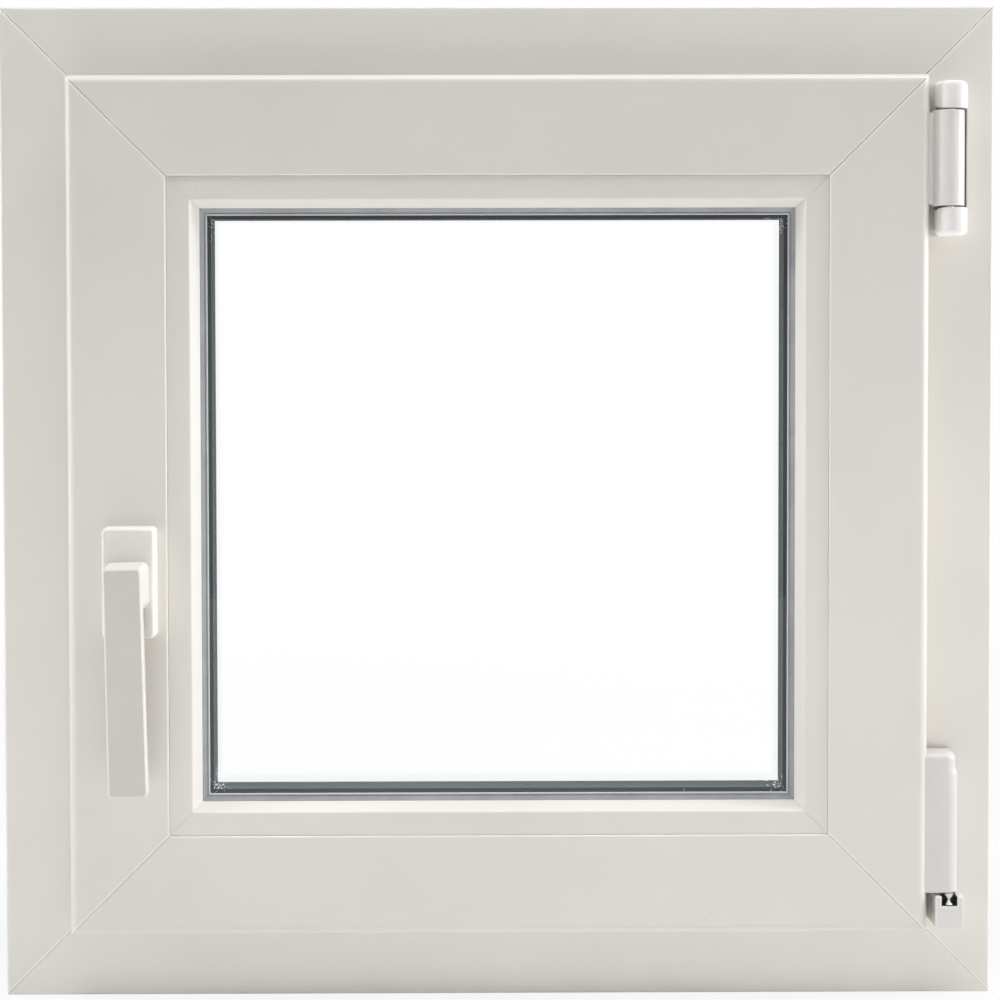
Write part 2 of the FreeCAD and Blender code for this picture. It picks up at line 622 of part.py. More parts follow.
os.makedirs("parts", exist_ok=True)
for name, shape in window().items():
    solids = shape.Solids
    whole = solids[0] if len(solids) == 1 else Part.makeCompound(solids)
    whole.exportStep(os.path.join("parts", name + ".step"))
    print(f"{name:28s} solids {len(solids)} valid {whole.isValid()} volume {whole.Volume:11.0f} mm3")
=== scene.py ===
"""Looks of a white tilt and turn window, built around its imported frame. Lengths are in metres."""

import json
import math

import bmesh
import bpy
from mathutils import Matrix, Vector

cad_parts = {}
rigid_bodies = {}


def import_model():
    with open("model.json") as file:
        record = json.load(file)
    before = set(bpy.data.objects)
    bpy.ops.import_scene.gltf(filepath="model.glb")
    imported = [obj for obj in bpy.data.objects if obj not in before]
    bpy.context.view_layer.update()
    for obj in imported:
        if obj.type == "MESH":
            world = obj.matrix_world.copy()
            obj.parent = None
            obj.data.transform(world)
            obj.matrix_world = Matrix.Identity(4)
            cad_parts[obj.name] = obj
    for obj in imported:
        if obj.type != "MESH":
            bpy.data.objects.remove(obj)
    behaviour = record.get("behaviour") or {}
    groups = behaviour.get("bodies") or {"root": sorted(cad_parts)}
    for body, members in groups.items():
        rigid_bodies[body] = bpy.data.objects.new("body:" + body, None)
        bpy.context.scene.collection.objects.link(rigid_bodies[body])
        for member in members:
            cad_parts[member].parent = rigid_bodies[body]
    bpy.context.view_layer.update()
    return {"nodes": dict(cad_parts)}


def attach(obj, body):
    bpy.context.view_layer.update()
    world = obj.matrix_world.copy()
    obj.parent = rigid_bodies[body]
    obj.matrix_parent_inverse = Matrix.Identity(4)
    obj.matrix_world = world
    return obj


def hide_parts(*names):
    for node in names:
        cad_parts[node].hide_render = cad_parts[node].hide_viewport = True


for leftover in list(bpy.data.objects):
    bpy.data.objects.remove(leftover)

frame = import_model()
nodes = frame["nodes"]

# Colours, in linear light

FRAME_WHITE = (0.85, 0.818, 0.757, 1.0)
SASH_WHITE = (0.79, 0.76, 0.702, 1.0)
CAP_WHITE = (0.9, 0.875, 0.842, 1.0)
COVER_WHITE = (0.735, 0.71, 0.682, 1.0)
HINGE_WHITE = (0.79, 0.762, 0.724, 1.0)
ROSETTE_WHITE = (0.875, 0.847, 0.79, 1.0)
# darker than the plate's white: painted shade on the lever's front
LEVER_SHADED_WHITE = (0.655, 0.617, 0.567, 1.0)
GASKET_GREY = (0.35, 0.354, 0.37, 1.0)
# the paler colour of the gasket's lip is a painted highlight
GASKET_LIP_HIGHLIGHT = (0.66, 0.67, 0.685, 1.0)
WEATHER_BLACK = (0.12, 0.12, 0.125, 1.0)
SEALANT_BLACK = (0.03, 0.03, 0.03, 1.0)
# near-black for a sheet inside the hinge block's notch: painted shade
NOTCH_SHADE_BLACK = (0.012, 0.012, 0.012, 1.0)
STEEL_GREY = (0.62, 0.62, 0.6, 1.0)
# spacer tones: the darker pair is painted shade on its side faces, the paler pair painted light on its faces
# toward the panes
SIDE_SHADE_TONES = ((0.024, 0.034, 0.036, 1.0), (0.08, 0.106, 0.11, 1.0))
PANE_FACE_LIGHT_TONES = ((0.08, 0.113, 0.116, 1.0), (0.23, 0.3, 0.306, 1.0))
CRUMB_WHITE = (0.7, 0.74, 0.74, 1.0)
GLASS_TINT = (0.997, 1.0, 0.9985, 1.0)
GLASS_SHADOW = (0.97, 0.985, 0.98, 1.0)
FLOOR_WHITE = (0.86, 0.86, 0.86, 1.0)
PURE_WHITE = (1.0, 1.0, 1.0, 1.0)

# Places on the window, from its middle or, for the painted highlight beside a weld, from the mitre

WINDOW_MIDDLE = Vector((0.0, 0.0, 0.3))
LIP_ZONE = (0.1744, 0.1747)
CORNER_ZONE = (0.155, 0.17)
WELD_STARTS = (0.0001, 0.0005)
WELD_ENDS = (0.0016, 0.002)

# What the materials are made with: ranges in which one look passes into another, gloss, grain and relief

NOISE_BULK = (0.3, 0.7)
DUST_RANGE = (0.35, 0.7)
STREAK_RANGE = (0.38, 0.62)
FILM_RANGE = (0.45, 0.8)
SPECK_SIZE = (0.012, 0.03)
CRUMB_SIZE = (0.28, 0.36)
CRUMB_PATCH = (0.7, 0.76)
CRUMB_GATHER = 0.42
# how square a spacer face must be to pass from the painted shade of the sides to the painted light of the pane
# faces
PANE_SIDE = (0.5, 0.8)
# how square a face must be to stay free of the painted side highlight
HIGHLIGHT_SIDES = (0.93, 0.995)
NOISE_ROUGHNESS = 0.55
RELIEF = 0.0001
PLASTIC_GLOSS = (0.3, 0.42)
MOULDED_GLOSS = (0.3, 0.4)
HINGE_GLOSS = (0.28, 0.38)
HANDLE_GLOSS = (0.34, 0.44)
CAP_GRAIN = 0.0009
PAINT_GRAIN = 0.0006
PLASTIC_IOR = 1.5
GLASS_IOR = 1.5


# Shader helpers

def shader(name):
    """A new material, its node tree and its Principled node."""
    mat = bpy.data.materials.new(name)
    mat.use_nodes = True
    return mat, mat.node_tree, mat.node_tree.nodes["Principled BSDF"]


def add(tree, kind, inputs=None, **settings):
    """A node with its settings, and with values or links on its inputs."""
    node = tree.nodes.new(kind)
    for key, value in settings.items():
        setattr(node, key, value)
    for key, value in (inputs or {}).items():
        if isinstance(value, bpy.types.NodeSocket):
            tree.links.new(value, node.inputs[key])
        else:
            node.inputs[key].default_value = value
    return node


def place(tree, scale):
    """The object's own coordinates, in metres, times a scale per axis."""
    coords = add(tree, "ShaderNodeTexCoord")
    return add(tree, "ShaderNodeMapping", {"Vector": coords.outputs["Object"], "Scale": scale}).outputs[0]


def noise(tree, scale, detail):
    """Noise at so many lumps to the metre on each axis."""
    node = add(tree, "ShaderNodeTexNoise", {"Vector": place(tree, scale), "Scale": 1.0, "Detail": detail,
                                            "Roughness": NOISE_ROUGHNESS})
    return node.outputs["Fac"]


def spread(tree, value, low, high, to_low, to_high):
    """Maps a range of a value to another range, clamped."""
    node = add(tree, "ShaderNodeMapRange", {"Value": value, "From Min": low, "From Max": high,
                                            "To Min": to_low, "To Max": to_high})
    return node.outputs["Result"]


def maths(tree, operation, a, b=0.0):
    """One sum on two values, or on one."""
    return add(tree, "ShaderNodeMath", {0: a, 1: b}, operation=operation).outputs[0]


def mixed(tree, factor, first, second):
    """One colour passing into another."""
    node = tree.nodes.new("ShaderNodeMix")
    node.data_type = "RGBA"
    for socket, value in ((node.inputs["Factor"], factor), (node.inputs[6], first), (node.inputs[7], second)):
        if isinstance(value, bpy.types.NodeSocket):
            tree.links.new(value, socket)
        else:
            socket.default_value = value
    return node.outputs[2]


def tinted(colour, factor):
    """A colour made paler or darker."""
    return tuple(min(1.0, c * factor) for c in colour[:3]) + (1.0,)


def bumped(tree, bsdf, height, strength, distance=RELIEF):
    """Fine relief on a surface."""
    bump = add(tree, "ShaderNodeBump", {"Height": height, "Strength": strength, "Distance": distance})
    tree.links.new(bump.outputs[0], bsdf.inputs["Normal"])


def from_middle(tree):
    """How far a point lies from the window's middle, sideways and upright."""
    parts = add(tree, "ShaderNodeSeparateXYZ", {0: place(tree, (1, 1, 1))})
    up = maths(tree, "SUBTRACT", parts.outputs["Z"], WINDOW_MIDDLE.z)
    return maths(tree, "ABSOLUTE", parts.outputs["X"]), maths(tree, "ABSOLUTE", up)


def squareness(tree):
    """1 where a face looks straight into the room or out of it, and 0 on a face at right angles to the window."""
    normal = add(tree, "ShaderNodeSeparateXYZ", {0: add(tree, "ShaderNodeTexCoord").outputs["Normal"]})
    return maths(tree, "ABSOLUTE", normal.outputs["Y"])


# Materials

def plastic(name, colour, along, welded):
    """Extruded white plastic: draw lines, fine grain, cloudy tone, rare specks and perhaps a painted highlight on
    one side of each weld.
    """
    mat, tree, bsdf = shader(name)
    lines = noise(tree, (5, 900, 900) if along == "x" else (900, 900, 5), 2.0)
    grain = noise(tree, (2200, 2200, 2200), 2.0)
    cloud = noise(tree, (9, 9, 9), 3.0)
    specks = add(tree, "ShaderNodeTexVoronoi", {"Vector": place(tree, (42, 42, 42)), "Scale": 1.0})
    speck = spread(tree, specks.outputs["Distance"], *SPECK_SIZE, 0.35, 0.0)
    tone = mixed(tree, spread(tree, cloud, *NOISE_BULK, 0, 1), tinted(colour, 0.975), tinted(colour, 1.015))
    if welded:
        # painted highlight: a paler band on one side of each mitre, where light catches a wall of the weld groove
        across, up = from_middle(tree)
        off_mitre = maths(tree, "SUBTRACT", across, up)
        weld_highlight = maths(tree, "MULTIPLY", spread(tree, off_mitre, *WELD_STARTS, 0, 1),
                        spread(tree, off_mitre, *WELD_ENDS, 1, 0))
        tone = mixed(tree, weld_highlight, tone, tinted(colour, 1.14))
    tree.links.new(mixed(tree, speck, tone, tinted(colour, 0.55)), bsdf.inputs["Base Color"])
    uneven = maths(tree, "ADD", maths(tree, "MULTIPLY", cloud, 0.6), maths(tree, "MULTIPLY", lines, 0.4))
    tree.links.new(spread(tree, uneven, *NOISE_BULK, *PLASTIC_GLOSS), bsdf.inputs["Roughness"])
    relief = maths(tree, "ADD", maths(tree, "MULTIPLY", lines, 0.7), maths(tree, "MULTIPLY", grain, 0.3))
    bumped(tree, bsdf, relief, 0.12)
    bsdf.inputs["IOR"].default_value = PLASTIC_IOR
    return mat


def coated(name, colour, grain_size, rough, strength, rim=None):
    """Moulded plastic or powder coat: a pebbled grain, a slightly uneven gloss, and perhaps a painted highlight on
    the sides that turn away from the room.
    """
    mat, tree, bsdf = shader(name)
    grain = noise(tree, (1 / grain_size,) * 3, 3.0)
    cloud = noise(tree, (40, 40, 40), 3.0)
    tone = mixed(tree, spread(tree, cloud, *NOISE_BULK, 0, 1), tinted(colour, 0.975), tinted(colour, 1.02))
    if rim:
        # painted highlight: sides that turn away from the room take the paler rim colour
        tone = mixed(tree, spread(tree, squareness(tree), *HIGHLIGHT_SIDES, 1, 0), tone, rim)
    tree.links.new(tone, bsdf.inputs["Base Color"])
    tree.links.new(spread(tree, cloud, *NOISE_BULK, *rough), bsdf.inputs["Roughness"])
    bumped(tree, bsdf, grain, strength)
    return mat


def rubber(name, colour, lip=None):
    """Matt sealing rubber with a fine grain and dusty patches, and perhaps a painted highlight along its lip at
    the sight line.
    """
    mat, tree, bsdf = shader(name)
    grain = noise(tree, (1500, 1500, 1500), 3.0)
    dust = noise(tree, (60, 60, 60), 4.0)
    tone = mixed(tree, spread(tree, dust, *DUST_RANGE, 0, 1), tinted(colour, 0.9), tinted(colour, 1.12))
    if lip:
        across, up = from_middle(tree)
        off_middle = maths(tree, "MAXIMUM", across, up)
        # painted highlight: a narrow band at the lip's distance from the middle turns paler
        tone = mixed(tree, spread(tree, off_middle, *LIP_ZONE, 1, 0), tone, lip)
    tree.links.new(tone, bsdf.inputs["Base Color"])
    tree.links.new(spread(tree, dust, *NOISE_BULK, 0.5, 0.65), bsdf.inputs["Roughness"])
    bumped(tree, bsdf, grain, 0.25)
    return mat


def spacer_finish(name):
    """The dark spacer between the panes: fine lines along it, side faces painted darker as shade and faces toward
    the panes painted paler as light, and pale crumbs that gather in the corners.
    """
    mat, tree, bsdf = shader(name)
    lines = noise(tree, (2, 1300, 2), 2.0)
    broad = noise(tree, (1, 320, 1), 1.0)
    both = maths(tree, "ADD", maths(tree, "MULTIPLY", lines, 0.55), maths(tree, "MULTIPLY", broad, 0.45))
    streak = spread(tree, both, *STREAK_RANGE, 0, 1)
    bar = mixed(tree, streak, *SIDE_SHADE_TONES)
    lit_pane_faces = mixed(tree, streak, *PANE_FACE_LIGHT_TONES)
    # painted light and shade: faces toward the panes take the paler tones, side faces the darker ones
    on_pane = spread(tree, squareness(tree), *PANE_SIDE, 0, 1)
    tone = mixed(tree, on_pane, bar, lit_pane_faces)
    across, up = from_middle(tree)
    corner = maths(tree, "MULTIPLY", spread(tree, across, *CORNER_ZONE, 0, 1),
                   spread(tree, up, *CORNER_ZONE, 0, 1))
    cells = add(tree, "ShaderNodeTexVoronoi", {"Vector": place(tree, (650, 150, 650)), "Scale": 1.0})
    patches = maths(tree, "ADD", noise(tree, (60, 60, 60), 4.0), maths(tree, "MULTIPLY", corner, CRUMB_GATHER))
    crumbs = maths(tree, "MULTIPLY", spread(tree, cells.outputs["Distance"], *CRUMB_SIZE, 1, 0),
                   spread(tree, patches, *CRUMB_PATCH, 0, 1))
    tree.links.new(mixed(tree, crumbs, tone, CRUMB_WHITE), bsdf.inputs["Base Color"])
    tree.links.new(spread(tree, both, *NOISE_BULK, 0.45, 0.6), bsdf.inputs["Roughness"])
    bsdf.inputs["Specular IOR Level"].default_value = 0.0
    bumped(tree, bsdf, both, 0.3, 2 * RELIEF)
    return mat


def metal(name, colour, along_scale):
    """Plated steel with brushed lines and uneven gloss."""
    mat, tree, bsdf = shader(name)
    brush = noise(tree, along_scale, 3.0)
    cloud = noise(tree, (120, 120, 120), 3.0)
    tone = mixed(tree, spread(tree, cloud, *NOISE_BULK, 0, 1), tinted(colour, 0.85), tinted(colour, 1.1))
    tree.links.new(tone, bsdf.inputs["Base Color"])
    bsdf.inputs["Metallic"].default_value = 1.0
    tree.links.new(spread(tree, brush, *NOISE_BULK, 0.2, 0.38), bsdf.inputs["Roughness"])
    bumped(tree, bsdf, brush, 0.15)
    return mat


def glazing(name):
    """Clear float glass. Light from the lamps passes, and faint films vary its polish."""
    mat, tree, bsdf = shader(name)
    bsdf.inputs["Base Color"].default_value = GLASS_TINT
    bsdf.inputs["Transmission Weight"].default_value = 1.0
    bsdf.inputs["IOR"].default_value = GLASS_IOR
    film = noise(tree, (30, 30, 30), 4.0)
    tree.links.new(spread(tree, film, *FILM_RANGE, 0.0, 0.012), bsdf.inputs["Roughness"])
    clear = add(tree, "ShaderNodeBsdfTransparent", {"Color": GLASS_SHADOW})
    path = add(tree, "ShaderNodeLightPath")
    both = add(tree, "ShaderNodeMixShader", {0: path.outputs["Is Shadow Ray"], 1: bsdf.outputs[0],
                                             2: clear.outputs[0]})
    tree.links.new(both.outputs[0], tree.nodes["Material Output"].inputs["Surface"])
    return mat


frame_x = plastic("frame_plastic_level", FRAME_WHITE, "x", True)
frame_z = plastic("frame_plastic_upright", FRAME_WHITE, "z", True)
sash_x = plastic("sash_plastic_level", SASH_WHITE, "x", True)
sash_z = plastic("sash_plastic_upright", SASH_WHITE, "z", True)
bead_x = plastic("bead_plastic_level", SASH_WHITE, "x", False)
bead_z = plastic("bead_plastic_upright", SASH_WHITE, "z", False)
# the grey gasket carries a painted highlight along its lip
gasket = rubber("grey_gasket", GASKET_GREY, GASKET_LIP_HIGHLIGHT)
dark_gasket = rubber("weather_gasket", WEATHER_BLACK)
glass = glazing("float_glass")
spacer = spacer_finish("spacer_lines")
cap = coated("cap_plastic", CAP_WHITE, CAP_GRAIN, MOULDED_GLOSS, 0.05)
cover_plastic = coated("cover_plastic", COVER_WHITE, CAP_GRAIN, MOULDED_GLOSS, 0.05)
hinge_paint = coated("hinge_powder_coat", HINGE_WHITE, PAINT_GRAIN, HINGE_GLOSS, 0.12)
rosette_paint = coated("rosette_powder_coat", ROSETTE_WHITE, PAINT_GRAIN, HANDLE_GLOSS, 0.15)
# the lever's front takes a darker white as painted shade, and its sides the sash's paler white as a painted
# highlight
lever_paint = coated("lever_powder_coat", LEVER_SHADED_WHITE, PAINT_GRAIN, HANDLE_GLOSS, 0.15, SASH_WHITE)
steel = metal("plated_steel", STEEL_GREY, (400, 400, 3000))
butyl = rubber("edge_sealant", SEALANT_BLACK)
# near-black material for the sheet of painted shade in the notch
notch_shade = rubber("notch_painted_shade", NOTCH_SHADE_BLACK)

LEVEL = ("head", "sill", "top_rail", "bottom_rail", "bead_top", "bead_bottom")


def finish_of(name):
    """The material that a node shows."""
    if name.startswith("bead_gasket") or name == "outer_glazing_gasket":
        return gasket
    if name.endswith("_gasket"):
        return dark_gasket
    if name.startswith("glazing_bead"):
        return bead_x if name.endswith(LEVEL) else bead_z
    if name.startswith("sash_"):
        return sash_x if name.endswith(LEVEL) else sash_z
    if name.startswith("frame_"):
        return frame_x if name.endswith(LEVEL) else frame_z
    if name.endswith("_pane"):
        return glass
    if name == "spacer_bar":
        return spacer
    if name == "edge_seal":
        return butyl
    if name.startswith("top_hinge_cap") or name == "bottom_hinge_cover":
        return cap
    if name.endswith(("_pin", "_arm", "_spindle")):
        return steel
    return rosette_paint if name.startswith("handle") else hinge_paint


for name, obj in nodes.items():
    obj.data.materials.clear()
    obj.data.materials.append(finish_of(name))


# Hardware with rounded edges, in millimetres

MILLIMETRE = 0.001
SEAM = 2e-6
SHARP_EDGE = math.radians(38)
HANDLE_AXIS = (-218.5, 256.4)
HINGE_X = 269.9
HINGE_Y = -42.1
HINGE_RADIUS = 9.6
BARREL_SHIFT = 0.8
SASH_EDGE_X = 257.0
SASH_ROOM = -50.0
SASH_ROUND = 5.5
PLATE_ROOM = -32.0
FRAME_ROOM = -30.0


def rounded(corners, steps=6):
    """Points along a closed outline through corners (a, b, radius), with an arc at each corner."""
    flat = [Vector(c[:2]) for c in corners]
    points = []
    for i, here in enumerate(flat):
        radius = corners[i][2]
        back = flat[i - 1] - here
        ahead = flat[(i + 1) % len(flat)] - here
        if radius <= 0 or back.length < 1e-6 or ahead.length < 1e-6:
            points += [here] * (steps + 1)
            continue
        back.normalize()
        ahead.normalize()
        half = back.angle(ahead) / 2
        centre = here + (back + ahead).normalized() * (radius / math.sin(half))
        first = here + back * (radius / math.tan(half)) - centre
        last = here + ahead * (radius / math.tan(half)) - centre
        start = math.atan2(first.y, first.x)
        turn = (math.atan2(last.y, last.x) - start + math.pi) % (2 * math.pi) - math.pi
        for k in range(steps + 1):
            angle = start + turn * k / steps
            points.append(centre + radius * Vector((math.cos(angle), math.sin(angle))))
    return points


def in_depth(points, y):
    """An outline in x and z, set at a depth."""
    return [Vector((p[0], y, p[1])) for p in points]


def level(points, z):
    """An outline in x and y, set at a height."""
    return [Vector((p[0], p[1], z)) for p in points]


def circle_for(points, centre, radius):
    """Points on a circle, each in the direction of an outline's point."""
    way = [(Vector(p) - Vector(centre)).normalized() for p in points]
    return [Vector(centre) + radius * d for d in way]


def full_turn(steps):
    """Angles once round a circle."""
    return [2 * math.pi * k / steps for k in range(steps)]


def quarter(radius, steps=6):
    """Steps of a rounded edge, as (inset, rise), from the full outline to the flat end."""
    turns = [math.pi / 2 * k / steps for k in range(steps + 1)]
    return [(radius * (1 - math.cos(t)), radius * math.sin(t)) for t in turns]


def loft(name, rings, material, body, replaced=(), looped=False):
    """A smooth skin over rings of points in millimetres, closed at its ends or joined to itself."""
    bm = bmesh.new()
    loops = [[bm.verts.new(p * MILLIMETRE) for p in ring] for ring in rings]
    pairs = list(zip(loops, loops[1:]))
    if looped:
        pairs.append((loops[-1], loops[0]))
    for near_loop, far_loop in pairs:
        for i in range(len(near_loop)):
            bm.faces.new((near_loop[i - 1], near_loop[i], far_loop[i], far_loop[i - 1]))
    if not looped:
        bm.faces.new(loops[0])
        bm.faces.new(loops[-1])
    bmesh.ops.remove_doubles(bm, verts=bm.verts, dist=SEAM)
    bmesh.ops.recalc_face_normals(bm, faces=bm.faces)
    mesh = bpy.data.meshes.new(name)
    bm.to_mesh(mesh)
    bm.free()
    mesh.shade_smooth()
    mesh.set_sharp_from_angle(angle=SHARP_EDGE)
    mesh.materials.append(material)
    piece = bpy.data.objects.new(name, mesh)
    bpy.context.scene.collection.objects.link(piece)
    piece.modifiers.new("even_faces", "WEIGHTED_NORMAL").keep_sharp = True
    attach(piece, body)
    if replaced:
        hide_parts(*replaced)


def make_rosette():
    """The handle's plate, with a soft rim and the bore for the lever's spigot."""
    half_w, half_h, front, rim, corner = 15.55, 32.6, -61.5, 1.9, 2.6
    bore, spindle_bore, bore_floor = 8.1, 6.0, -57.2

    def outline(inset):
        x0, x1 = HANDLE_AXIS[0] - half_w + inset, HANDLE_AXIS[0] + half_w - inset
        z0, z1 = HANDLE_AXIS[1] - half_h + inset, HANDLE_AXIS[1] + half_h - inset
        radius = corner - 0.4 * inset
        return rounded([(x0, z0, radius), (x1, z0, radius), (x1, z1, radius), (x0, z1, radius)])

    rings = [in_depth(outline(0), SASH_ROOM)]
    rings += [in_depth(outline(inset), front + rim - rise) for inset, rise in quarter(rim)]
    face = outline(rim)
    for radius, y in ((bore, front), (bore, bore_floor), (spindle_bore, bore_floor), (spindle_bore, SASH_ROOM)):
        rings.append(in_depth(circle_for(face, HANDLE_AXIS, radius), y))
    loft("handle_plate", rings, rosette_paint, "window", ["handle_rosette"], looped=True)


def make_lever():
    """The lever: a flat bar that narrows to its back, and the square neck that widens from it to the plate."""
    half_top, half_low, length, narrow = 11.3, 11.65, 122.5, 1.2
    front, bar_back, neck_base = -80.0, -69.0, -61.8
    neck_half, edge, drop, rise_out, corner_radius = 12.75, 1.6, 1.4, 2.0, 2.4
    spigot, spigot_end = 8.0, -57.5
    lean = math.radians(1.2)

    def passed(y, end):
        """How far a depth lies on the way from the front's rim to an end, 0 to 1."""
        return max(0.0, min(1.0, (y - front - edge) / (end - front - edge)))

    def outline(y, inset=0.0, bar=True, bar_inset=0.0):
        """The neck's and the bar's outline at a depth, about the handle's axis."""
        f = half_top + passed(y, neck_base) * (neck_half - half_top) - inset
        corner = corner_radius + 1.4 * passed(y, neck_base) - 0.5 * inset
        trim = inset + bar_inset + narrow * passed(y, bar_back)
        side = min(half_top + (half_low - half_top) * 0.15 - trim, f - 0.02)
        soft = min(1.0, f - side)
        shoulder = -f - drop * soft
        low, low_half, low_radius = shoulder, side, 0.0
        if bar:
            low, low_half = -length + inset + bar_inset, half_low - trim
            low_radius = corner_radius - 0.5 * inset
        bend = 3.5 * soft
        half = [(low_half, low, low_radius), (side, shoulder, bend), (f, rise_out * soft - f, bend),
                (f, f, corner)]
        return rounded([(-x, z, radius) for x, z, radius in half[:1]] + half
                       + [(-x, z, radius) for x, z, radius in reversed(half[1:])])

    def put(points, y):
        """An outline leaned a little about the handle's axis, as the photo shows it."""
        c, s = math.cos(lean), math.sin(lean)
        x0, z0 = HANDLE_AXIS
        return in_depth([(x0 + p[0] * c - p[1] * s, z0 + p[0] * s + p[1] * c) for p in points], y)

    rings = []
    for inset, rise in reversed(quarter(edge)):
        rings.append(put(outline(front + edge - rise, inset), front + edge - rise))
    rings += [put(outline(y), y) for y in (-77.0, -75.0, -73.0, -71.0, -69.8)]
    rings += [put(outline(bar_back, bar_inset=0.7), bar_back), put(outline(bar_back, bar=False), bar_back)]
    rings += [put(outline(y, bar=False), y) for y in (-67.0, -64.5, -62.4)]
    base = outline(neck_base, 0.5, bar=False)
    rings.append(put(base, neck_base))
    rings += [put(circle_for(base, (0.0, 0.0), spigot), y) for y in (neck_base, spigot_end)]
    loft("lever", rings, lever_paint, "handle", ["handle_lever"])


def make_cap(name, open_z, closed_z, node):
    """One moulded cap of the top hinge: domed at its far end, its open rim cut back on the sash's side."""
    middle_x, foot, dome = HINGE_X + 1.0, 7.0, 3.4
    cut_start, cut_span, cut_depth, arcs = 6.4, 3.2, 1.9, 56
    inward = math.copysign(1, open_z - closed_z)

    def outline(inset):
        r, f = HINGE_RADIUS - inset, foot - inset
        reach = math.pi - math.asin(f / r)
        turns = [-reach + 2 * reach * k / arcs for k in range(arcs + 1)]
        points = [Vector((middle_x + r * math.sin(t), HINGE_Y - r * math.cos(t))) for t in turns]
        return points + [Vector((middle_x + f, PLATE_ROOM)), Vector((middle_x - f, PLATE_ROOM))]

    def open_ring(inset, rise):
        points = outline(inset)
        cut = [max(0.0, (middle_x - cut_start - p.x) / cut_span) for p in points]
        return [Vector((p.x, p.y, open_z - inward * (rise + cut_depth * c * c))) for p, c in zip(points, cut)]

    rings = []
    for inset, rise in reversed(quarter(dome, 10)):
        rings.append(level(outline(inset), closed_z + inward * (dome - rise)))
    rings += [open_ring(0.0, 3.0), open_ring(0.0, 0.45), open_ring(0.15, 0.13), open_ring(0.45, 0.0)]
    loft(name, rings, cap, "window", [node])


def make_barrel():
    """The top hinge's barrel between its caps, and the leaf that joins it to the sash."""
    low, high, rim = 478.7, 535.5, 0.5
    leaf_low, leaf_high, leaf_right = 479.9, 534.3, 264.0
    leaf_front, leaf_back, leaf_edge = -44.4, -36.1, 0.2
    middle_x = HINGE_X - BARREL_SHIFT

    def circle(inset):
        reach = HINGE_RADIUS - inset
        return [Vector((middle_x + reach * math.cos(t), HINGE_Y + reach * math.sin(t))) for t in full_turn(72)]

    rings = [level(circle(inset), low + rim - rise) for inset, rise in reversed(quarter(rim, 4))]
    rings += [level(circle(inset), high - rim + rise) for inset, rise in quarter(rim, 4)]
    loft("hinge_barrel", rings, hinge_paint, "window", ["top_hinge_barrel"])

    def leaf(inset):
        face = inset + leaf_front
        return rounded([(SASH_EDGE_X, leaf_back, leaf_edge), (SASH_EDGE_X, face, leaf_edge),
                        (leaf_right, face, leaf_edge), (leaf_right, leaf_back, leaf_edge)], 3)

    rings = [level(leaf(inset), leaf_low + rim - rise) for inset, rise in reversed(quarter(rim, 4))]
    rings += [level(leaf(inset), leaf_high - rim + rise) for inset, rise in quarter(rim, 4)]
    # the leaf takes the caps' paler plastic instead of the barrel's coat: painted light that lifts it out of its
    # shaded slot
    loft("hinge_barrel_leaf", rings, cap, "window")


def sash_side(y):
    """Where the sash's rounded outer edge lies at a depth."""
    above = max(0.0, SASH_ROOM + SASH_ROUND - y)
    return SASH_EDGE_X - SASH_ROUND + math.sqrt(SASH_ROUND ** 2 - above ** 2)


def make_cover():
    """The bottom hinge's cover: close to the sash's round edge, round at its far edge, and narrower at its top."""
    low, high, front, right, narrow, top, far_edge = 67.0, 150.5, -48.6, 276.4, 1.2, 3.0, 7.4

    def outline(inset, waist):
        x1 = right - narrow * waist - inset
        face = front + inset
        flat = SASH_ROOM + SASH_ROUND
        between = (face + flat) / 2
        return rounded([(SASH_EDGE_X, PLATE_ROOM, 0.2), (SASH_EDGE_X, flat, 0), (sash_side(between), between, 0),
                        (sash_side(face), face, 0), (x1, face, far_edge - 0.8 * inset),
                        (x1, PLATE_ROOM, 0.2)], 10)

    rings = [level(outline(0.4, 0), low), level(outline(0.12, 0), low + 0.12), level(outline(0, 0), low + 0.4)]
    step = ((137.0, 0), (138.6, 0.15), (140.6, 0.85), (142.2, 1))
    rings += [level(outline(0, waist), z) for z, waist in step]
    rings += [level(outline(inset, 1), high - top + rise) for inset, rise in quarter(top, 8)]
    loft("hinge_cover_shell", rings, cover_plastic, "window", ["bottom_hinge_cover"])


